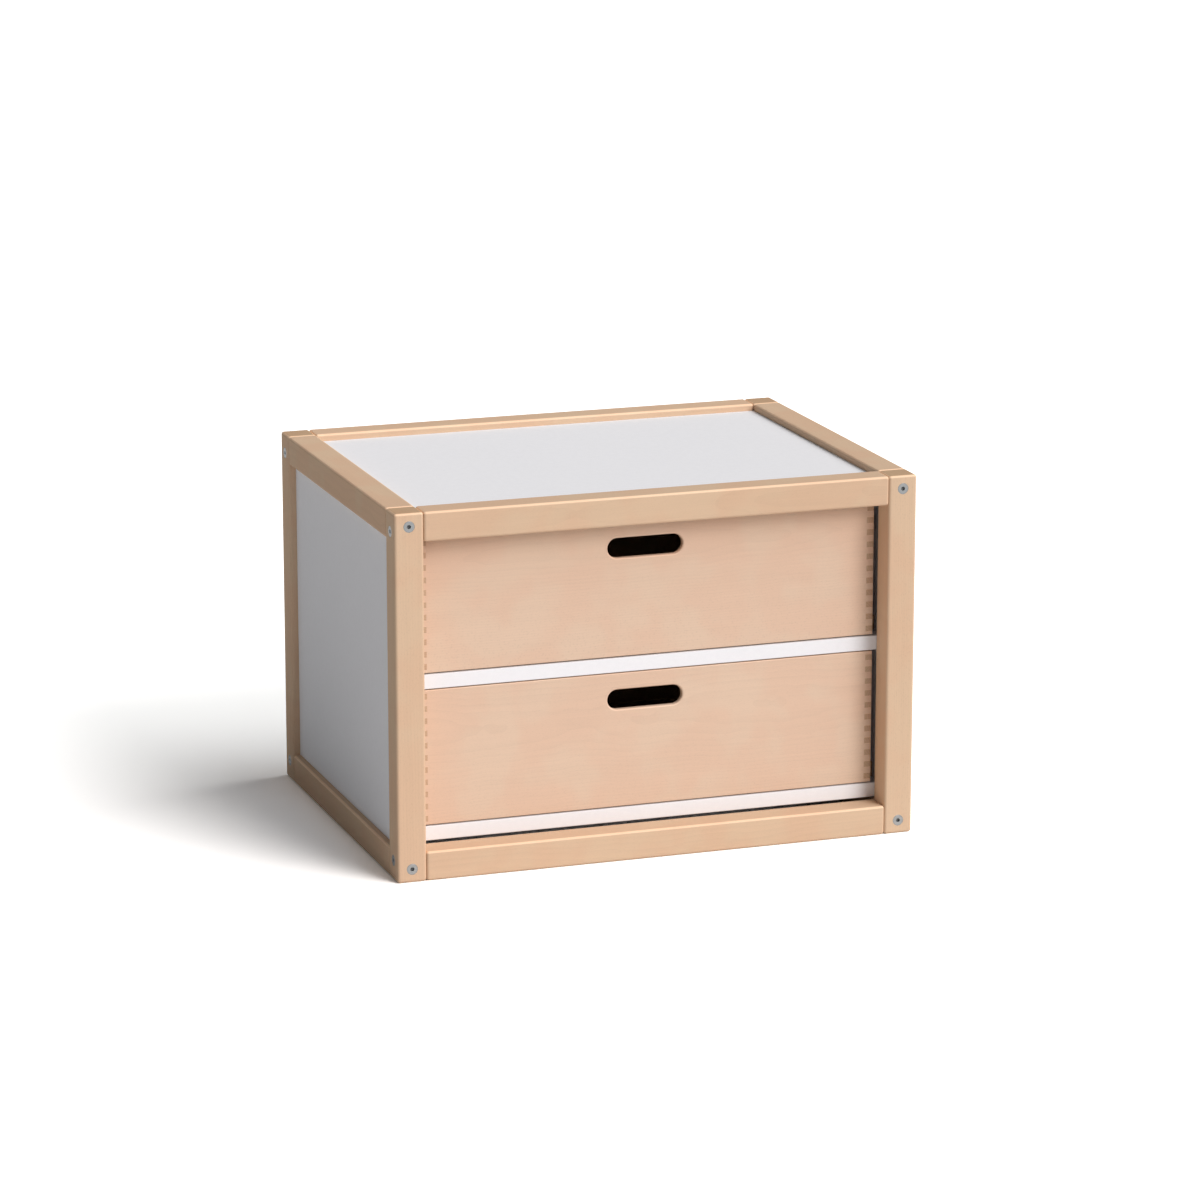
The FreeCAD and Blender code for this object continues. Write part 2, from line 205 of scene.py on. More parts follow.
class StageSettings(PropertyGroup):
    """Floor, light and camera"""
    floor: share("Floor", "How much light the pale floor gives back", 0.80)
    floor_seen: strength("Floor Seen", "How pale the floor looks itself", 1.80)
    sky: share("Sky", "Strength of the even light from all round", 0.136)
    key: strength("Key", "Strength of the lamp above, in front and to the right", 1.48)
    key_tone: colour("Key Tone", "Colour of the lamp above", (0.975, 0.975, 0.96))
    key_breadth: angle("Key Breadth", "How wide the lamp above looks", 50.0)
    fill: strength("Fill", "Strength of the low lamp in front", 1.99)
    fill_tone: colour("Fill Tone", "Colour of the low lamp", (1.0, 0.95, 0.925))
    fill_breadth: angle("Fill Breadth", "How wide the low lamp looks", 34.0)
    azimuth: angle("Azimuth", "Camera round the unit, from the front", -19.112)
    elevation: angle("Elevation", "Camera above the horizon", 13.997)
    distance: length("Distance", "Camera to the point that it looks at", 5.3132)
    lens: FloatProperty(
        name="Lens", description="Focal length on a 36 mm frame", default=144.05, min=1, unit="CAMERA",
    )


class DrawerUnitSettings(PropertyGroup):
    """All settings of the drawer unit"""
    beech: PointerProperty(type=BeechSettings, name="Beech", description="Posts, rails and drawers")
    board: PointerProperty(type=BoardSettings, name="Board", description="White panels and shelves")
    wall: PointerProperty(type=WallSettings, name="Wall", description="Drawer walls")
    bolt: PointerProperty(type=BoltSettings, name="Bolt", description="Frame bolts")
    screw: PointerProperty(type=ScrewSettings, name="Screw", description="Wood screws")
    metal: PointerProperty(type=MetalSettings, name="Metal", description="Plating and nylon")
    stage: PointerProperty(type=StageSettings, name="Stage", description="Floor, light and camera")


class Wire:
    """A node's output that can be used in sums: each sum adds its nodes to the same tree."""

    def __init__(self, tree, socket=None):
        self.tree = tree
        self.socket = socket

    def node(self, kind, settings=None, inputs=None, output=0):
        """Adds a node, makes its settings first, then gives its sockets their values or links."""
        made = self.tree.nodes.new(kind)
        for name, value in (settings or {}).items():
            if name == "items":
                while len(made.index_switch_items) < value:
                    made.index_switch_items.new()
            else:
                setattr(made, name, value)
        for key, value in (inputs or {}).items():
            for one in value if isinstance(value, list) else [value]:
                if isinstance(one, Wire):
                    self.tree.links.new(one.socket, made.inputs[key])
                else:
                    made.inputs[key].default_value = one
        return Wire(self.tree, made.outputs[output] if made.outputs else None)

    def math(self, operation, *values):
        return self.node("ShaderNodeMath", {"operation": operation}, dict(enumerate(values)))

    def __add__(self, other):
        return self.math("ADD", self, other)

    def __sub__(self, other):
        return self.math("SUBTRACT", self, other)

    def __rsub__(self, other):
        return self.math("SUBTRACT", other, self)

    def __mul__(self, other):
        return self.math("MULTIPLY", self, other)

    def __truediv__(self, other):
        return self.math("DIVIDE", self, other)

    def __floordiv__(self, other):
        return self.math("FLOOR", self / other)

    def __mod__(self, other):
        return self.math("FLOORED_MODULO", self, other)

    def __pow__(self, other):
        return self.math("POWER", self, other)

    def __gt__(self, other):
        return self.math("GREATER_THAN", self, other)

    def __lt__(self, other):
        return self.math("LESS_THAN", self, other)

    def __abs__(self):
        return self.math("ABSOLUTE", self)

    __radd__ = __add__
    __rmul__ = __mul__

    def sine(self):
        return self.math("SINE", self)

    def cosine(self):
        return self.math("COSINE", self)

    def at_least(self, low):
        return self.math("MAXIMUM", self, low)

    def at_most(self, high):
        return self.math("MINIMUM", self, high)

    def ease(self, start, end):
        """0 before start, 1 after end, and smooth between them."""
        return self.node(
            "ShaderNodeMapRange", {"interpolation_type": "SMOOTHSTEP"},
            {"Value": self, "From Min": start, "From Max": end},
        )

    def vector(self, x, y, z):
        return self.node("ShaderNodeCombineXYZ", None, {"X": x, "Y": y, "Z": z})

    def split(self):
        """X, Y and Z of a vector."""
        parts = self.node("ShaderNodeSeparateXYZ", None, {"Vector": self})
        return [Wire(self.tree, socket) for socket in parts.socket.node.outputs]

    def vector_math(self, operation, other, output=0):
        return self.node("ShaderNodeVectorMath", {"operation": operation}, {0: self, 1: other}, output)

    def scale(self, vector):
        """A vector or a colour times this."""
        return self.node("ShaderNodeVectorMath", {"operation": "SCALE"}, {0: vector, "Scale": self})

    def noise(self, waves, detail, roughness):
        """Soft noise about 0.5, at this many waves in a metre."""
        return self.node(
            "ShaderNodeTexNoise", None,
            {"Vector": self, "Scale": waves, "Detail": detail, "Roughness": roughness},
        )

    def mix_colours(self, first, second):
        """The first colour where this is 0 and the second where it is 1."""
        return self.node("ShaderNodeMix", {"data_type": "RGBA"}, {0: self, 6: first, 7: second}, 2)

    def put_at(self, places):
        """A shape with its points at these places."""
        return self.node("GeometryNodeSetPosition", None, {"Geometry": self, "Position": places})

    def moved(self, shift, turn=(0.0, 0.0, 0.0)):
        """A shape turned about the origin and then shifted."""
        return self.node(
            "GeometryNodeTransform", None, {"Geometry": self, "Translation": shift, "Rotation": turn},
        )

    def joined(self, *others):
        """This shape and others as one."""
        return self.node("GeometryNodeJoinGeometry", None, {"Geometry": [self, *others]})

    def flipped(self):
        """A mesh with its faces pointing the other way."""
        return self.node("GeometryNodeFlipFaces", None, {"Mesh": self})

    def welded(self):
        """A mesh with the points that share a place made one."""
        return self.node("GeometryNodeMergeByDistance", None, {"Geometry": self, "Distance": HAIR})

    def with_edge_values(self, name, kind, value):
        """A mesh with a value on each edge, under a name that Blender's shading and bevels read."""
        return self.node(
            "GeometryNodeStoreNamedAttribute", {"data_type": kind, "domain": "EDGE"},
            {"Geometry": self, "Name": name, "Value": value},
        )


def opaque(tone):
    """A colour's three numbers with the fourth that a socket wants."""
    return (*tone, 1.0)


def blank_material(name):
    """A new material with no nodes, and a wire to start its nodes from."""
    material = bpy.data.materials.new(name)
    material.use_nodes = True
    material.node_tree.nodes.clear()
    return material, Wire(material.node_tree)


def finish_material(material, start, fixed, varied, height, bump):
    """Ends a material in one shader: fixed sockets hold plain values, varied ones are linked."""
    firmness, depth = bump
    normal = start.node("ShaderNodeBump", None, {"Strength": firmness, "Distance": depth, "Height": height})
    shader = start.node("ShaderNodeBsdfPrincipled", None, {**fixed, **varied, "Normal": normal})
    start.node("ShaderNodeOutputMaterial", None, {"Surface": shader})
    return material


# Noise is given as its waves in a metre, its detail and its roughness.
LIGHTNESS_SPREAD = 0.015  # between pieces
HEART_REACH_IN_MM = (45.0, 95.0)  # from the middle of a piece to the heart of its log
HEART_DRIFT = 24 * MM  # of the heart along a piece
DRIFT = (1.8, 1.0, 0.5)
RING_WAVER = 5 * MM
WAVER = (16.0, 2.0, 0.5)
RING_FALL = 3.0  # how suddenly the late wood of a ring ends
RAY_CELL = (7 * MM, 0.8 * MM, 3.4 * MM)  # away from the heart, round it and along it
RAY_BODY = (0.12, 0.42)  # of a cell
FIBRE_WAVES = (520.0, 14.0)  # across the grain and along it, in a metre
FIBRE = (1.0, 3.0, 0.6)
STREAK_WAVES = (70.0, 3.0)
STREAK = (1.0, 2.0, 0.5)
ROSY_CLOUD = (15.0, 2.0, 0.6)
ROSY_EDGE = (0.40, 0.60)
CUT_END = (0.80, 0.97)  # how squarely a cut end looks along the grain
ROUNDED_EDGE = (0.93, 0.995)  # how squarely a flat face looks along an axis
FACING_UP = (0.10, 0.50)
FIBRE_DEPTH = 0.065
STREAK_DEPTH = 0.06
END_RING_DEPTH = 0.10
FIBRE_ROUGHNESS = 0.16
END_ROUGHNESS = 0.18
# Less roughness on the upper rounded edges that carry the painted highlight
HIGHLIGHT_EDGE_POLISH = 0.05
FIBRE_RISE, FLECK_RISE, RING_RISE = 0.6, 0.5, -0.3
BEECH_BUMP = (0.35, 0.05 * MM)
LACQUER = 0.045
LACQUER_ROUGHNESS = 0.30
# Shares of the painted edge highlight for the drawer walls and for the hidden runners
DRAWER_HIGHLIGHT = 0.6  # of the painted edge highlight on the bars
HIDDEN_HIGHLIGHT = 0.3


def beech(node, look, tone, highlight_share=1.0, lacquer=LACQUER):
    """Beech with its rings, rays and fibres, for a piece sawn from its own place in a log."""
    low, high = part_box(node)
    sides = high - low
    axis = max(range(3), key=lambda i: sides[i])
    log = random.Random(node)
    heart_bearing = log.uniform(0.0, FULL_TURN)
    heart_reach = log.uniform(*HEART_REACH_IN_MM) * MM
    shift = Vector([log.uniform(-1.0, 1.0) for _ in range(3)])
    lightness = log.uniform(1.0 - LIGHTNESS_SPREAD, 1.0 + LIGHTNESS_SPREAD)

    material, start = blank_material(f"beech_{node}")
    spot = start.node("ShaderNodeTexCoord", output="Object").vector_math("SUBTRACT", (low + high) / 2)
    parts = spot.split()
    along, across, rise = (parts[(axis + i) % 3] for i in range(3))
    drift = start.vector(along + shift.x, 0.0, 0.0).noise(*DRIFT)
    u = across - heart_reach * math.cos(heart_bearing) + (drift - 0.5) * HEART_DRIFT
    v = rise - heart_reach * math.sin(heart_bearing)
    from_heart = (u * u + v * v) ** 0.5
    round_heart = start.math("ARCTAN2", v, u) * heart_reach

    moved = spot.vector_math("ADD", shift)
    waver = moved.noise(*WAVER)
    ring = ((from_heart + (waver - 0.5) * RING_WAVER) / look.ring_width % 1.0) ** RING_FALL
    cell = start.vector(
        from_heart / RAY_CELL[0], round_heart / RAY_CELL[1], (along + shift.y) / RAY_CELL[2],
    )
    rays = start.node("ShaderNodeTexVoronoi", None, {"Vector": cell, "Scale": 1.0})
    fleck = 1.0 - rays.ease(*RAY_BODY)
    rosiness = moved.noise(*ROSY_CLOUD).ease(*ROSY_EDGE)

    def drawn_out(waves, offset, kind):
        """Noise drawn out along the grain."""
        wide, long = waves
        return start.vector(across * wide, rise * wide, (along + offset) * long).noise(*kind)

    fibre = drawn_out(FIBRE_WAVES, shift.z, FIBRE)
    streak = drawn_out(STREAK_WAVES, -shift.x, STREAK)

    facing = start.node("ShaderNodeTexCoord", output="Normal").split()
    squarely = [abs(part) for part in facing]
    end = squarely[axis].ease(*CUT_END)
    edge = 1.0 - squarely[0].at_least(squarely[1]).at_least(squarely[2]).ease(*ROUNDED_EDGE)
    # Painted highlight: rounded edges that face upward are painted paler, standing in for the lamp's light
    # catching them, and made a little glossier
    painted_edge_highlight = edge * facing[2].ease(*FACING_UP)

    shade = (
        1.0 - ring * (look.ring_depth + END_RING_DEPTH * end) - fleck * look.ray_depth
        + (fibre - 0.5) * FIBRE_DEPTH + (streak - 0.5) * STREAK_DEPTH + painted_edge_highlight * (look.edge_highlight_paint * highlight_share)
    )
    plain = Vector(tone) * lightness
    rosy = [part * tint for part, tint in zip(plain, look.rosy)]
    flat = rosiness.mix_colours(opaque(plain), opaque(rosy))
    at_ends = end.mix_colours(opaque((1.0, 1.0, 1.0)), opaque(look.end_grain))
    base = shade.scale(flat.vector_math("MULTIPLY", at_ends))
    rough = look.gloss + (fibre - 0.5) * FIBRE_ROUGHNESS + end * END_ROUGHNESS - painted_edge_highlight * HIGHLIGHT_EDGE_POLISH
    height = fibre * FIBRE_RISE + fleck * FLECK_RISE + ring * RING_RISE
    return finish_material(
        material, start,
        {"Coat Weight": lacquer, "Coat Roughness": LACQUER_ROUGHNESS, "Specular IOR Level": 0.0},
        {"Base Color": base, "Roughness": rough}, height, BEECH_BUMP,
    )


PEARL = (2.0, 0.55)  # detail and roughness
BOARD_CLOUD = (9.0, 3.0, 0.5)
MOTTLE = (150.0, 2.0, 0.6)
DUST = (260.0, 4.0, 0.7)
DUST_EDGE = (0.62, 0.80)
PEARL_DEPTH = 0.05
MOTTLE_DEPTH = 0.05
BOARD_CLOUD_DEPTH = 0.015
DUST_DEPTH = 0.02
GLUE_LINE = (0.05 * MM, 0.14 * MM)  # half its width, without and with its soft edge
GLUE_DEPTH = 0.22
PEARL_ROUGHNESS = 0.14
DUST_ROUGHNESS = 0.08
PEARL_FIRMNESS = 0.6
BOARD_COAT = 0.055
BOARD_COAT_ROUGHNESS = 0.40


def melamine(name, look, band_line=None):
    """White melamine with a fine pearled surface, and the glue line of its front edge band."""
    material, start = blank_material(name)
    spot = start.node("ShaderNodeTexCoord", output="Object")
    pearl = spot.noise(1.0 / look.pearl, *PEARL)
    cloud = spot.noise(*BOARD_CLOUD)
    mottle = spot.noise(*MOTTLE)
    dust = spot.noise(*DUST).ease(*DUST_EDGE)
    shade = (
        1.0 + (pearl - 0.5) * PEARL_DEPTH + (mottle - 0.5) * MOTTLE_DEPTH
        + (cloud - 0.5) * BOARD_CLOUD_DEPTH - dust * DUST_DEPTH
    )
    if band_line is not None:
        depth = spot.split()[1]
        shade = shade - (1.0 - abs(depth - band_line).ease(*GLUE_LINE)) * GLUE_DEPTH
    rough = look.gloss + (pearl - 0.5) * PEARL_ROUGHNESS + dust * DUST_ROUGHNESS
    return finish_material(
        material, start,
        {"Coat Weight": BOARD_COAT, "Coat Roughness": BOARD_COAT_ROUGHNESS, "Specular IOR Level": 0.0},
        {"Base Color": shade.scale(look.tone), "Roughness": rough},
        pearl, (PEARL_FIRMNESS, look.pearl_height),
    )


TURNED_PLACE = "turned_place"
SPANGLE = (900.0, 3.0, 0.6)
TARNISH = (120.0, 2.0, 0.5)
TURNING_WAVES = 6000.0  # in a metre, away from the axis
TURNING = (1.0, 2.0, 0.5)
SPANGLE_DEPTH, TARNISH_DEPTH, TURNING_DEPTH = 0.22, 0.18, 0.16
SPANGLE_ROUGHNESS, TARNISH_ROUGHNESS, TURNING_ROUGHNESS = 0.20, 0.10, 0.14
SPANGLE_RISE, TURNING_RISE = 0.4, 0.6
# The recess is darkened: partly painted shade of its hollow, partly the duller unplated steel inside it
RECESS_EDGE = (0.52, 0.60)  # of its width
RECESS_MOUTH = (-0.35, -0.05)  # of its depth
RECESS_SHADE = 0.45
RECESS_ROUGHNESS = 0.3
PLATING_TINT = (0.62, 0.62, 0.62)  # of what it reflects at a low angle
PLATING_BUMP = (0.25, 0.02 * MM)


def plated_steel(name, tone, look, recess=None):
    """Zinc-plated steel: turning marks round the axis where a piece has one, and a recess darkened partly by
    painted shade.
    """
    material, start = blank_material(name)
    spot = start.node("ShaderNodeTexCoord", output="Object")
    spangle = spot.noise(*SPANGLE)
    tarnish = spot.noise(*TARNISH)
    shade = 1.0 + (spangle - 0.5) * SPANGLE_DEPTH + (tarnish - 0.5) * TARNISH_DEPTH
    rough = look.gloss + (spangle - 0.5) * SPANGLE_ROUGHNESS + (tarnish - 0.5) * TARNISH_ROUGHNESS
    height = spangle * SPANGLE_RISE
    if recess:
        across, deep = recess
        place = start.node("ShaderNodeAttribute", {"attribute_name": TURNED_PLACE}, output="Vector")
        x, y, z = place.split()
        radius = (x * x + y * y) ** 0.5
        marks = start.vector(radius * TURNING_WAVES, 0.0, 0.0).noise(*TURNING)
        beyond = radius.ease(*(across * part for part in RECESS_EDGE))
        above = z.ease(*(deep * part for part in RECESS_MOUTH))
        # Painted shade inside the recess, together with its duller unplated steel
        inside = (1.0 - beyond) * (1.0 - above)
        shade = (shade + (marks - 0.5) * TURNING_DEPTH) * (1.0 - RECESS_SHADE * inside)
        rough = rough + (marks - 0.5) * TURNING_ROUGHNESS + inside * RECESS_ROUGHNESS
        height = height + marks * TURNING_RISE
    return finish_material(
        material, start, {"Metallic": 1.0, "Specular Tint": opaque(PLATING_TINT)},
        {"Base Color": shade.scale(tone), "Roughness": rough}, height, PLATING_BUMP,
    )


SCUFF_WAVES = (1500.0, 14.0, 200.0)  # along X, Y and Z, in a metre
SCUFF = (1.0, 3.0, 0.6)
SCUFF_EDGE = (0.45, 0.65)
SCUFF_DEPTH = 0.07
NYLON_ROUGHNESS = 0.34
SCUFF_ROUGHNESS = 0.2
NYLON_BUMP = (0.3, 0.03 * MM)


def nylon(name, tone):
    """Slightly waxy nylon, scuffed in streaks along the way that the drawer slides."""
    material, start = blank_material(name)
    place = start.node("ShaderNodeTexCoord", output="Object").split()
    scuffs = start.vector(*(part * waves for part, waves in zip(place, SCUFF_WAVES))).noise(*SCUFF)
    dulled = scuffs.ease(*SCUFF_EDGE)
    base = (1.0 - dulled * SCUFF_DEPTH).scale(tone)
    rough = NYLON_ROUGHNESS + dulled * SCUFF_ROUGHNESS
    return finish_material(material, start, {}, {"Base Color": base, "Roughness": rough}, scuffs, NYLON_BUMP)


def dress(node, material):
    """Gives a frame node its finish."""
    frame["nodes"][node].material_slots[0].material = material


def tree_with(name, inputs):
    """A geometry tree with named inputs: the tree and a wire for each input."""
    tree = bpy.data.node_groups.new(name, "GeometryNodeTree")
    tree.interface.new_socket("Geometry", in_out="OUTPUT", socket_type="NodeSocketGeometry")
    for label, kind in inputs.items():
        tree.interface.new_socket(label, in_out="INPUT", socket_type="NodeSocket" + kind)
    source = Wire(tree).node("NodeGroupInput").socket.node
    return tree, {socket.name: Wire(tree, socket) for socket in source.outputs if socket.name}


def end_tree(shape, material):
    """Realizes what a tree made, gives it its material and sends it out."""
    shape = shape.node("GeometryNodeRealizeInstances", None, {"Geometry": shape})
    shape = shape.node("GeometryNodeSetMaterial", None, {"Geometry": shape, "Material": material})
    shape.node("NodeGroupOutput", None, {0: shape})


def grow(name, tree, values, body, replaced):
    """Runs a tree with these inputs and keeps the result as one plain mesh that rides on a body."""
    piece = bpy.data.objects.new(name, bpy.data.meshes.new(name))
    bpy.context.scene.collection.objects.link(piece)
    modifier = piece.modifiers.new(tree.name, "NODES")
    modifier.node_group = tree
    inputs = {item.name: item.identifier for item in tree.interface.items_tree if item.in_out == "INPUT"}
    if set(inputs) != set(values):
        raise ValueError(f"{name}: the inputs of {tree.name} are {sorted(inputs)}")
    for label, value in values.items():
        modifier[inputs[label]] = value
    graph = bpy.context.evaluated_depsgraph_get()
    mesh = bpy.data.meshes.new_from_object(piece.evaluated_get(graph))
    if not mesh.polygons:
        raise ValueError(f"{name}: {tree.name} made no faces")
    piece.modifiers.remove(modifier)
    mesh.name = name
    piece.data = mesh
    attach(piece, body)
    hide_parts(*replaced)
    return piece


GRIP_ARC = 16  # faces round each end of the grip slot
RIM_STEPS = 5  # faces over the rounding of its rim
EASED_CORNER = math.radians(60)
SHARP_CORNER = math.radians(30)


def comb_wall_tree():
    """A drawer wall: comb fingers on both ends, a groove inside and, where asked for, a grip slot."""
    tree, given = tree_with("comb_wall", {
        "Length": "Float", "Height": "Float", "Thickness": "Float",
        "Fingers": "Int", "Fingers At Corners": "Float",
        "Grip Length": "Float", "Grip Height": "Float", "Rim": "Float",
        "Grip X": "Float", "Grip Z": "Float",
        "Groove Low": "Float", "Groove High": "Float", "Groove Depth": "Float",
        "Top Ease": "Float", "Edge Ease": "Float",
        "Place": "Vector", "Turn": "Float", "Material": "Material",
    })
    start = Wire(tree)
    long, high, thick = given["Length"], given["Height"], given["Thickness"]

    # The outline climbs one end and comes down the other, with two points on each finger and each gap.
    pitch = high / given["Fingers"]
    side_points = 4 * given["Fingers"] + 2
    index = start.node("GeometryNodeInputIndex")
    far_side = index > side_points - 0.5
    step = index.at_most(2 * side_points - 1 - index) - 1
    quarter = step % 4
    level = (step // 4 + 0.25 + 0.5 * (quarter > 1.5)) * pitch
    level = level.at_least(0.0).at_most(high)
    stands_out = abs(given["Fingers At Corners"] - (abs(quarter - 1.5) < 1.0))
    reach = long / 2 - thick * (1 - stands_out)
    ring = start.node("GeometryNodeMeshCircle", {"fill_type": "NONE"}, {"Vertices": 2 * side_points})
    outline = ring.put_at(start.vector((1 - 2 * far_side) * reach, level, 0.0))

    radius = given["Grip Height"] / 2
    straight = given["Grip Length"] / 2 - radius
    around = 2 * (GRIP_ARC + 1)

    def on_grip(place, out, depth):
        """The place with this number round the grip slot, this far out from the middle of its arc."""
        half = place // (GRIP_ARC + 1)
        bearing = math.pi * ((place % (GRIP_ARC + 1)) / GRIP_ARC - 0.5 + half)
        x = given["Grip X"] + (1 - 2 * half) * straight + out * bearing.cosine()
        z = given["Grip Z"] + out * bearing.sine()
        return start.vector(x, z, depth)

    hole = start.node("GeometryNodeMeshCircle", {"fill_type": "NONE"}, {"Vertices": around})
    hole = hole.put_at(on_grip(index, radius + given["Rim"], 0.0))
    rows = 2 * (RIM_STEPS + 1)
    row = index % rows
    inner_rim = row // (RIM_STEPS + 1)
    bend = math.pi / 2 * abs((row % (RIM_STEPS + 1)) / RIM_STEPS - inner_rim)
    out = radius + given["Rim"] * (1 - bend.sine())
    depth = abs(given["Rim"] * (1 - bend.cosine()) - inner_rim * thick)
    lining = start.node("GeometryNodeMeshGrid", None, {"Vertices X": around + 1, "Vertices Y": rows})
    lining = lining.put_at(on_grip(index // rows % around, out, depth))
    has_grip = given["Grip Length"] > 0.0
    hole, lining = (
        start.node("GeometryNodeSwitch", {"input_type": "GEOMETRY"}, {"Switch": has_grip, "True": shape})
        for shape in (hole, lining)
    )

    rings = start.node("GeometryNodeMeshToCurve", None, {"Mesh": outline.joined(hole)})
    face = start.node("GeometryNodeFillCurve", {"mode": "NGONS"}, {"Curve": rings})
    across = start.vector(0.0, 0.0, thick)
    edges = start.node(
        "GeometryNodeExtrudeMesh", {"mode": "EDGES"},
        {"Mesh": outline, "Offset": across, "Offset Scale": 1.0},
    )
    shell = face.flipped().joined(face.moved(across), edges.joined(lining).flipped()).welded()

    groove_span = long - 2 * (thick - given["Groove Depth"])
    groove_height = given["Groove High"] - given["Groove Low"]
    groove_size = start.vector(groove_span, groove_height, 2 * given["Groove Depth"])
    groove = start.node("GeometryNodeMeshCube", None, {"Size": groove_size})
    groove = groove.moved(start.vector(0.0, (given["Groove Low"] + given["Groove High"]) / 2, 0.0))
    shell = start.node(
        "GeometryNodeMeshBoolean", {"operation": "DIFFERENCE", "solver": "EXACT"},
        {"Mesh 1": shell, "Mesh 2": groove},
    )

    corner = start.node("GeometryNodeInputMeshEdgeAngle", output="Signed Angle")
    ends = [start.node("GeometryNodeInputMeshEdgeVertices", output=f"Position {i}") for i in (1, 2)]
    run = ends[0].vector_math("DISTANCE", ends[1], "Value")
    height_here = start.node("GeometryNodeInputPosition").split()[1]
    on_top = (height_here > high - HAIR) * (run > 2 * thick)
    ease = given["Edge Ease"] + (given["Top Ease"] - given["Edge Ease"]) * on_top
    weight = (corner > EASED_CORNER) * ease / given["Top Ease"]
    shell = shell.with_edge_values("bevel_weight_edge", "FLOAT", weight)
    shell = shell.with_edge_values("sharp_edge", "BOOLEAN", abs(corner) > SHARP_CORNER)

    shell = shell.moved(start.vector(0.0, thick, 0.0), (math.pi / 2, 0.0, 0.0))
    shell = shell.moved(given["Place"], start.vector(0.0, 0.0, given["Turn"]))
    end_tree(shell, given["Material"])
    return tree


COLUMNS = 24  # faces round a fastener
PROFILE_ROWS = 10  # of points, from the foot of the recess to the start of the thread
TAIL_ROWS = 3  # over the end
SPARE_ROWS = 6  # so that the thread's rows always reach its end
LIP = 0.15 * MM  # rounding of the head's rim and the recess's edge
SOCKET_CONE = 1.12  # depth of the middle of a recess, in depths of its foot
BOLT_THREAD_DEPTH = 0.54  # in pitches
SCREW_THREAD_DEPTH = 0.33
SOCKET_FOOT = 1.0  # width of a recess's foot, in widths of its mouth
CROSS_FOOT = 0.45
THREAD_CORNER = math.radians(35)
LEAST_BEARING = 0.01  # from the middle of a cross's arm, so that nothing is divided by zero


def hexagon(bearing, across):
    """How far a hexagon socket reaches at a bearing."""
    side = FULL_TURN / 6
    return across / 2 / (bearing % side - side / 2).cosine()


def cross(bearing, across):
    """How far a cross recess reaches at a bearing: its arms are about as wide as two columns."""
    quarter = FULL_TURN / 4
    from_arm = abs((bearing + quarter / 2) % quarter - quarter / 2)
    arm = across / 2
    half_width = arm * math.tan(FULL_TURN / COLUMNS)
    return (arm / from_arm.cosine()).at_most(half_width / from_arm.at_least(LEAST_BEARING).sine())


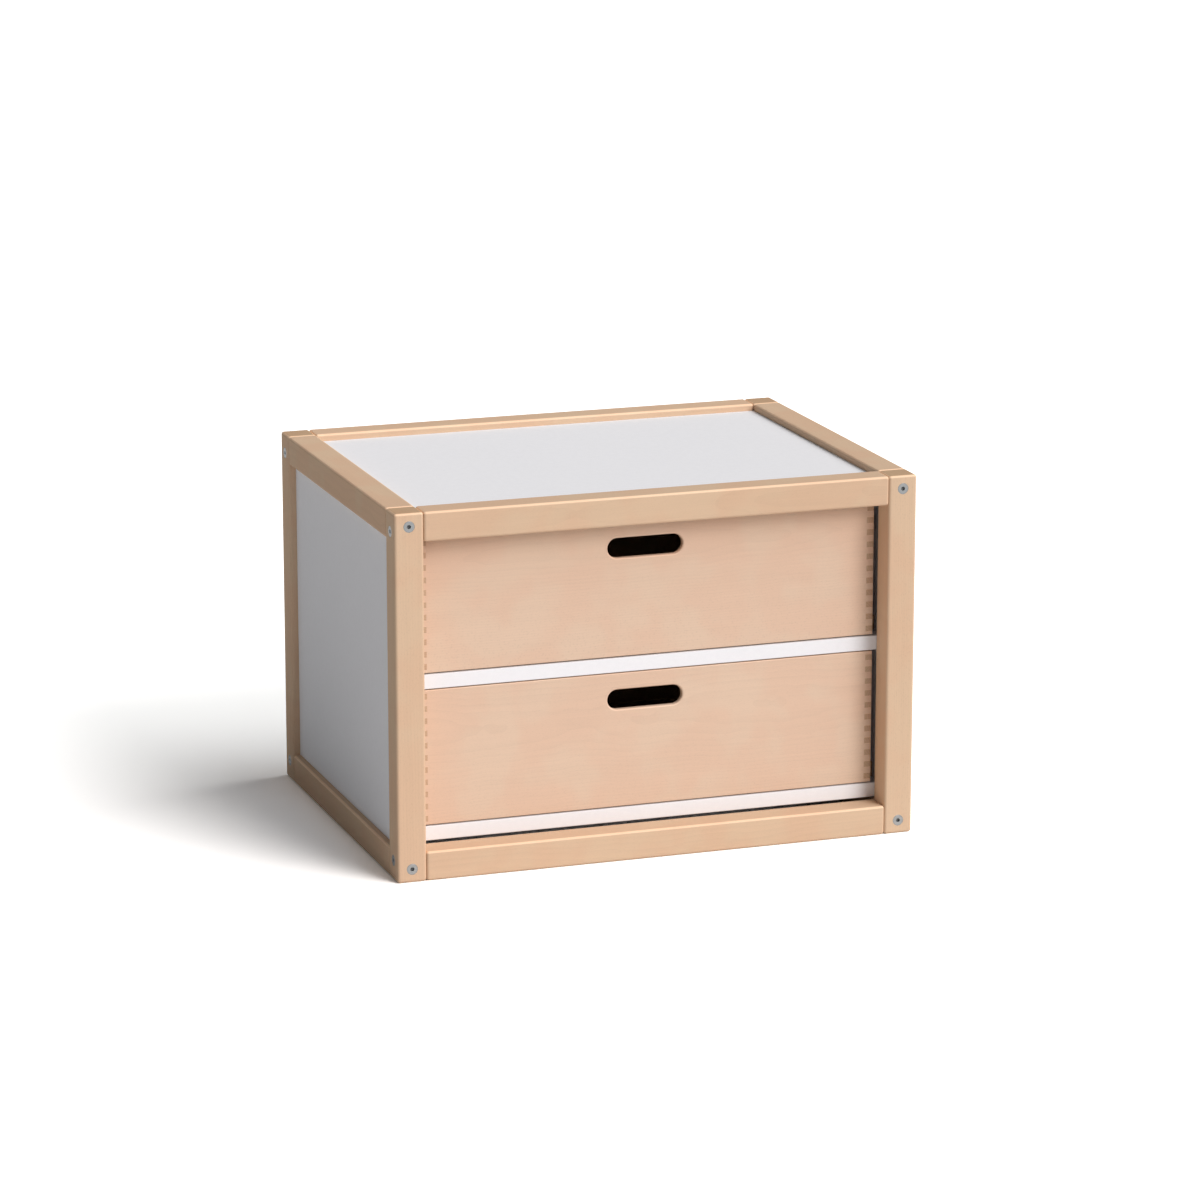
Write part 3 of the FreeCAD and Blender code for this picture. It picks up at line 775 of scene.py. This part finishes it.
def fastener_tree(name, recess_shape, recess_foot, thread_depth):
    """A countersunk fastener, turned row by row round its axis, set out on a box of points."""
    tree, given = tree_with(name, {
        "Head": "Float", "Land": "Float", "Shank": "Float", "Length": "Float",
        "Recess": "Float", "Recess Depth": "Float",
        "Pitch": "Float", "Thread From": "Float", "Point": "Float",
        "Low": "Vector", "High": "Vector", "Count X": "Int", "Count Y": "Int", "Count Z": "Int",
        "Head Towards": "Vector", "Seed": "Int", "Material": "Material",
    })
    start = Wire(tree)
    index = start.node("GeometryNodeInputIndex")
    head, shank = given["Head"] / 2, given["Shank"] / 2
    thread_from, end = given["Thread From"], given["Length"]
    thread_rows = 2 * ((end - thread_from) / given["Pitch"]) // 1 + SPARE_ROWS
    rows = PROFILE_ROWS + thread_rows + TAIL_ROWS
    grid = start.node("GeometryNodeMeshGrid", None, {"Vertices X": COLUMNS + 1, "Vertices Y": rows})
    row = index % rows
    column = index // rows
    bearing = column % COLUMNS * (FULL_TURN / COLUMNS)

    # Each row of the profile is a radius and a depth below the top of the head.
    recess = recess_shape(bearing, given["Recess"])
    deep = given["Recess Depth"]
    cone_end = given["Land"] + head - shank
    core = shank - thread_depth * given["Pitch"]
    profile = [
        (0.0, deep * SOCKET_CONE),
        (recess * recess_foot, deep),
        (recess, LIP),
        (recess + LIP, 0.0),
        (head - LIP, 0.0),
        (head - 0.3 * LIP, 0.3 * LIP),
        (head, LIP),
        (head, given["Land"]),
        (shank, cone_end),
        (shank, thread_from),
    ]

    # The thread's rows are its crests and roots in turn, half a pitch apart.
    turn = row - PROFILE_ROWS - 2
    drop = thread_from + given["Pitch"] * (turn / 2 + column / COLUMNS)
    drop = drop.at_least(thread_from).at_most(end)
    on_flank = (drop > thread_from + HAIR) * (drop < end - HAIR)
    crest = turn % 2 * on_flank
    narrowing = ((end - drop) / given["Point"]).at_most(1.0)
    thread = ((core + (shank - core) * crest) * narrowing, drop)
    tail = [(core * narrowing, end), (0.0, end), (0.0, end)]

    stage = row.at_most(PROFILE_ROWS) + (row - (rows - TAIL_ROWS - 1)).at_least(0.0)
    entries = profile + [thread] + tail
    radius, depth = (
        start.node(
            "GeometryNodeIndexSwitch", {"data_type": "FLOAT", "items": len(entries)},
            {"Index": stage, **{i + 1: entry[part] for i, entry in enumerate(entries)}},
        )
        for part in (0, 1)
    )
    place = start.vector(radius * bearing.cosine(), radius * bearing.sine(), 0 - depth)
    solid = grid.put_at(place).flipped().welded()
    solid = start.node(
        "GeometryNodeStoreNamedAttribute", {"data_type": "FLOAT_VECTOR", "domain": "POINT"},
        {"Geometry": solid, "Name": TURNED_PLACE, "Value": start.node("GeometryNodeInputPosition")},
    )
    corner = start.node("GeometryNodeInputMeshEdgeAngle")
    solid = solid.with_edge_values("sharp_edge", "BOOLEAN", corner > THREAD_CORNER)

    # The points fill the box from Low to High, and heads on opposite sides of it look opposite ways.
    across, deep, high = given["Count X"], given["Count Y"], given["Count Z"]
    shares = [
        index % across / (across - 1),
        index // across % deep / (deep - 1).at_least(1.0),
        index // (across * deep) / (high - 1).at_least(1.0),
    ]
    span = given["High"].vector_math("SUBTRACT", given["Low"])
    spot = given["Low"].vector_math("ADD", span.vector_math("MULTIPLY", start.vector(*shares)))
    points = start.node("GeometryNodeMeshLine", None, {"Count": across * deep * high}).put_at(spot)
    outward = start.vector(2 * shares[0] - 1, 2 * shares[1] - 1, 1.0)
    facing = outward.vector_math("MULTIPLY", given["Head Towards"])
    spin = start.node(
        "FunctionNodeRandomValue", {"data_type": "FLOAT"}, {3: FULL_TURN, "Seed": given["Seed"]}, 1,
    )
    attitude = start.node(
        "FunctionNodeAlignRotationToVector", {"axis": "Z"},
        {"Rotation": start.vector(0.0, 0.0, spin), "Vector": facing},
    )
    placed = start.node(
        "GeometryNodeInstanceOnPoints", None, {"Points": points, "Instance": solid, "Rotation": attitude},
    )
    end_tree(placed, given["Material"])
    return tree


class DRAWERUNIT_OT_frame_bars(Operator):
    """Lacquers the posts and rails, each sawn from its own place in the log"""
    bl_idname = "drawer_unit.frame_bars"
    bl_label = "Frame Bars"

    def execute(self, context):
        look = context.scene.drawer_unit.beech
        for node in nodes_in("beech_frame"):
            dress(node, beech(node, look, look.bar_tone))
        return {"FINISHED"}


class DRAWERUNIT_OT_white_boards(Operator):
    """Faces the panels and shelves with white melamine"""
    bl_idname = "drawer_unit.white_boards"
    bl_label = "White Boards"

    def execute(self, context):
        look = context.scene.drawer_unit.board
        panel = melamine("white_panel", look)
        shelf = melamine("white_shelf", look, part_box("middle_shelf")[0].y + look.band)
        for node in nodes_in("white_laminate"):
            dress(node, shelf if node.endswith("shelf") else panel)
        return {"FINISHED"}


class DRAWERUNIT_OT_drawer_walls(Operator):
    """Grows the comb-jointed fronts, backs and sides of the drawers"""
    bl_idname = "drawer_unit.drawer_walls"
    bl_label = "Drawer Walls"

    def execute(self, context):
        settings = context.scene.drawer_unit
        tree = comb_wall_tree()
        for node in nodes_in("beech_drawer"):
            self.make_wall(tree, node, settings.wall, settings.beech)
        return {"FINISHED"}

    def make_wall(self, tree, node, look, wood):
        low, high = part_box(node)
        drawer, part = node.split("_drawer_")
        middle = (low + high) / 2
        place, turn = {
            "front": ((middle.x, low.y), 0.0),
            "back": ((middle.x, high.y), math.pi),
            "left_side": ((low.x, middle.y), -math.pi / 2),
            "right_side": ((high.x, middle.y), math.pi / 2),
        }[part]
        sheet_low, sheet_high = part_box(f"{drawer}_drawer_bottom")
        grip = MIDDLE_OF_OPENING[f"{drawer}_grip_slot"]
        sides = high - low
        across_front = part in ("front", "back")
        values = {
            "Length": max(sides.x, sides.y), "Height": sides.z, "Thickness": min(sides.x, sides.y),
            "Fingers": look.fingers, "Fingers At Corners": 1.0 if across_front else 0.0,
            "Grip Length": look.grip_length if part == "front" else 0.0, "Grip Height": look.grip_height,
            "Grip X": grip.x - middle.x, "Grip Z": grip.z - low.z, "Rim": look.grip_rim,
            "Groove Low": sheet_low.z - low.z - look.groove_ease,
            "Groove High": sheet_high.z - low.z + look.groove_ease, "Groove Depth": look.groove_depth,
            "Top Ease": look.top_ease, "Edge Ease": look.edge_ease, "Place": (*place, low.z), "Turn": turn,
            "Material": beech(node, wood, wood.wall_tone, DRAWER_HIGHLIGHT),
        }
        wall = grow(f"{drawer}_{part}_board", tree, values, BODY_OF[node], [node])
        rounding = wall.modifiers.new("eased_edges", "BEVEL")
        rounding.limit_method = "WEIGHT"
        rounding.width = look.top_ease
        rounding.segments = 3
        rounding.harden_normals = True
        rounding.use_clamp_overlap = False


class DRAWERUNIT_OT_drawer_bottoms(Operator):
    """Lacquers the beech sheets in the bottoms of the drawers"""
    bl_idname = "drawer_unit.drawer_bottoms"
    bl_label = "Drawer Bottoms"

    def execute(self, context):
        look = context.scene.drawer_unit.beech
        for node in nodes_in("drawer_bottom_ply"):
            dress(node, beech(node, look, look.wall_tone, highlight_share=0.0))
        return {"FINISHED"}


class DRAWERUNIT_OT_runners(Operator):
    """Finishes the guides, stops and dowels in plain beech and the glides in nylon"""
    bl_idname = "drawer_unit.runners"
    bl_label = "Guides, Stops, Dowels and Glides"

    def execute(self, context):
        settings = context.scene.drawer_unit
        look = settings.beech
        for node in nodes_in("guide_beech") + nodes_in("dowel_beech"):
            dress(node, beech(node, look, look.hidden_tone, HIDDEN_HIGHLIGHT, lacquer=0.0))
        strip = nylon("glide_nylon_strip", settings.metal.nylon)
        for node in nodes_in("glide_nylon"):
            dress(node, strip)
        return {"FINISHED"}


def turned_steel(name, metal, fastener):
    """Clear zinc plating for a fastener with a recess."""
    return plated_steel(name, metal.zinc, metal, (fastener.recess, fastener.recess_depth))


def fastener_sizes(look, steel):
    """The inputs of a fastener tree that come straight from its settings."""
    return {
        "Head": look.head, "Land": look.land, "Shank": look.shank, "Recess": look.recess,
        "Recess Depth": look.recess_depth, "Pitch": look.pitch, "Point": look.point, "Material": steel,
    }


class DRAWERUNIT_OT_frame_bolts(Operator):
    """Grows the countersunk hexagon-socket bolts of the frame and plates their inserts"""
    bl_idname = "drawer_unit.frame_bolts"
    bl_label = "Frame Bolts"

    def execute(self, context):
        settings = context.scene.drawer_unit
        look = settings.bolt
        common = {
            **fastener_sizes(look, turned_steel("zinc_bolt", settings.metal, look)),
            "Length": look.reach, "Thread From": look.reach - look.threaded,
            "Count X": 2, "Count Y": 2, "Count Z": 2,
        }
        tree = fastener_tree("frame_bolts", hexagon, SOCKET_FOOT, BOLT_THREAD_DEPTH)
        rim = look.head / 2
        ways = {
            "depth": (Vector((rim, 0.0, rim)), (0.0, 1.0, 0.0)),
            "width": (Vector((0.0, rim, rim)), (1.0, 0.0, 0.0)),
        }
        for seed, (way, (inset, towards)) in enumerate(ways.items()):
            node = f"{way}_bolts"
            low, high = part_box(node)
            values = {
                **common, "Low": low + inset, "High": high - inset, "Head Towards": towards, "Seed": seed,
            }
            grow(f"{way}_frame_bolts", tree, values, BODY_OF[node], [node])
        sleeve = plated_steel("yellow_zinc_insert", settings.metal.yellow_zinc, settings.metal)
        for node in nodes_in("insert_steel"):
            dress(node, sleeve)
        return {"FINISHED"}


class DRAWERUNIT_OT_wood_screws(Operator):
    """Grows the cross-recessed screws that hold the guides and stops"""
    bl_idname = "drawer_unit.wood_screws"
    bl_label = "Wood Screws"

    def execute(self, context):
        settings = context.scene.drawer_unit
        look = settings.screw
        common = {
            **fastener_sizes(look, turned_steel("zinc_screw", settings.metal, look)),
            "Thread From": look.thread_from,
        }
        tree = fastener_tree("wood_screws", cross, CROSS_FOOT, SCREW_THREAD_DEPTH)
        low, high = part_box("lower_left_guide")[0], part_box("upper_right_guide")[1]
        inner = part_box("lower_right_guide")[0].x
        middle = GUIDE_HEIGHT / 2
        guides = {
            **common, "Length": look.reach, "Count X": 2, "Count Y": 3, "Count Z": 2,
            "Low": (-inner, low.y + look.from_end, low.z + middle),
            "High": (inner, high.y - look.from_end, high.z - middle),
            "Head Towards": (-1.0, 0.0, 0.0), "Seed": 2,
        }
        grow("guide_wood_screws", tree, guides, "carcass", ["guide_screws"])
        low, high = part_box("lower_stop")[0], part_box("upper_stop")[1]
        depth = (low.y + high.y) / 2
        stops = {
            **common, "Length": look.stop_reach, "Count X": 2, "Count Y": 1, "Count Z": 2,
            "Low": (low.x + look.from_stop_end, depth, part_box("lower_stop")[1].z),
            "High": (high.x - look.from_stop_end, depth, high.z),
            "Head Towards": (0.0, 0.0, 1.0), "Seed": 3,
        }
        grow("stop_wood_screws", tree, stops, "carcass", ["stop_screws"])
        return {"FINISHED"}


KEY_FROM = Vector((0.50, -0.22, 0.84))
FILL_FROM = Vector((0.44, -0.76, 0.48))
LAMP_DISTANCE = 3.0
AIM = Vector((0.0104, 0.0046, 0.2312))
FLOOR_HALF = 30.0
FLOOR_DROP = 0.2 * MM


def seen_directly(start):
    """1 for rays that show the background itself: from the camera, or by way of a mirror or glass."""
    camera, glossy, through = (
        start.node("ShaderNodeLightPath", output=ray)
        for ray in ("Is Camera Ray", "Is Glossy Ray", "Is Transmission Ray")
    )
    return camera.at_least(glossy).at_least(through)


class DRAWERUNIT_OT_stage(Operator):
    """Sets the pale floor, the soft lamps, the even sky and the camera"""
    bl_idname = "drawer_unit.stage"
    bl_label = "Stage"

    def execute(self, context):
        scene = context.scene
        look = scene.drawer_unit.stage
        self.lay_floor(scene, look)
        self.light_sky(scene, look)
        self.hang_lamp(scene, "key_lamp", KEY_FROM, look.key, look.key_tone, look.key_breadth)
        self.hang_lamp(scene, "fill_lamp", FILL_FROM, look.fill, look.fill_tone, look.fill_breadth)
        self.set_camera(scene, look)
        scene.view_settings.view_transform = "Standard"
        return {"FINISHED"}

    def lay_floor(self, scene, look):
        mesh = bpy.data.meshes.new("floor")
        corners = [(-1, -1), (1, -1), (1, 1), (-1, 1)]
        places = [(x * FLOOR_HALF, y * FLOOR_HALF, -FLOOR_DROP) for x, y in corners]
        mesh.from_pydata(places, [], [(0, 1, 2, 3)])
        floor = bpy.data.objects.new("floor", mesh)
        scene.collection.objects.link(floor)
        material, start = blank_material("pale_floor")
        pale = seen_directly(start).mix_colours(opaque([look.floor] * 3), opaque([look.floor_seen] * 3))
        matt = start.node("ShaderNodeBsdfDiffuse", None, {"Color": pale})
        start.node("ShaderNodeOutputMaterial", None, {"Surface": matt})
        mesh.materials.append(material)

    def light_sky(self, scene, look):
        scene.world = bpy.data.worlds.new("even_sky")
        scene.world.use_nodes = True
        scene.world.node_tree.nodes.clear()
        start = Wire(scene.world.node_tree)
        power = look.sky + (1.0 - look.sky) * seen_directly(start)
        sky = start.node(
            "ShaderNodeBackground", None, {"Color": opaque((1.0, 1.0, 1.0)), "Strength": power},
        )
        start.node("ShaderNodeOutputWorld", None, {"Surface": sky})

    def hang_lamp(self, scene, name, towards, power, tone, breadth):
        light = bpy.data.lights.new(name, "SUN")
        light.energy = power
        light.color = tone
        light.angle = breadth
        lamp = bpy.data.objects.new(name, light)
        lamp.location = towards.normalized() * LAMP_DISTANCE
        lamp.rotation_euler = towards.to_track_quat("Z", "Y").to_euler()
        scene.collection.objects.link(lamp)

    def set_camera(self, scene, look):
        lens = bpy.data.cameras.new("camera")
        lens.lens = look.lens
        camera = bpy.data.objects.new("camera", lens)
        level = math.cos(look.elevation)
        back = Vector((
            math.sin(look.azimuth) * level, -math.cos(look.azimuth) * level, math.sin(look.elevation),
        ))
        camera.location = AIM + back * look.distance
        camera.rotation_euler = back.to_track_quat("Z", "Y").to_euler()
        scene.collection.objects.link(camera)
        scene.camera = camera


OPERATORS = (
    DRAWERUNIT_OT_frame_bars,
    DRAWERUNIT_OT_white_boards,
    DRAWERUNIT_OT_drawer_walls,
    DRAWERUNIT_OT_drawer_bottoms,
    DRAWERUNIT_OT_runners,
    DRAWERUNIT_OT_frame_bolts,
    DRAWERUNIT_OT_wood_screws,
    DRAWERUNIT_OT_stage,
)


class DRAWERUNIT_PT_sidebar(Panel):
    """Lists the unit's settings and the operators that make its pieces"""
    bl_label = "Drawer Unit"
    bl_idname = "DRAWERUNIT_PT_sidebar"
    bl_space_type = "VIEW_3D"
    bl_region_type = "UI"
    bl_category = "Drawer Unit"

    def draw(self, context):
        settings = context.scene.drawer_unit
        for group in DrawerUnitSettings.__annotations__:
            box = self.layout.box()
            box.label(text=group.capitalize())
            held = getattr(settings, group)
            for name in type(held).__annotations__:
                box.prop(held, name)
        for operator in OPERATORS:
            self.layout.operator(operator.bl_idname)


CLASSES = (
    BeechSettings, BoardSettings, WallSettings, BoltSettings, ScrewSettings, MetalSettings, StageSettings,
    DrawerUnitSettings, *OPERATORS, DRAWERUNIT_PT_sidebar,
)


def register():
    for made in CLASSES:
        bpy.utils.register_class(made)
    bpy.types.Scene.drawer_unit = PointerProperty(type=DrawerUnitSettings)


def unregister():
    del bpy.types.Scene.drawer_unit
    for made in reversed(CLASSES):
        bpy.utils.unregister_class(made)


def main():
    register()
    for operator in OPERATORS:
        category, action = operator.bl_idname.split(".")
        getattr(getattr(bpy.ops, category), action)()


if __name__ == "__main__":
    main()
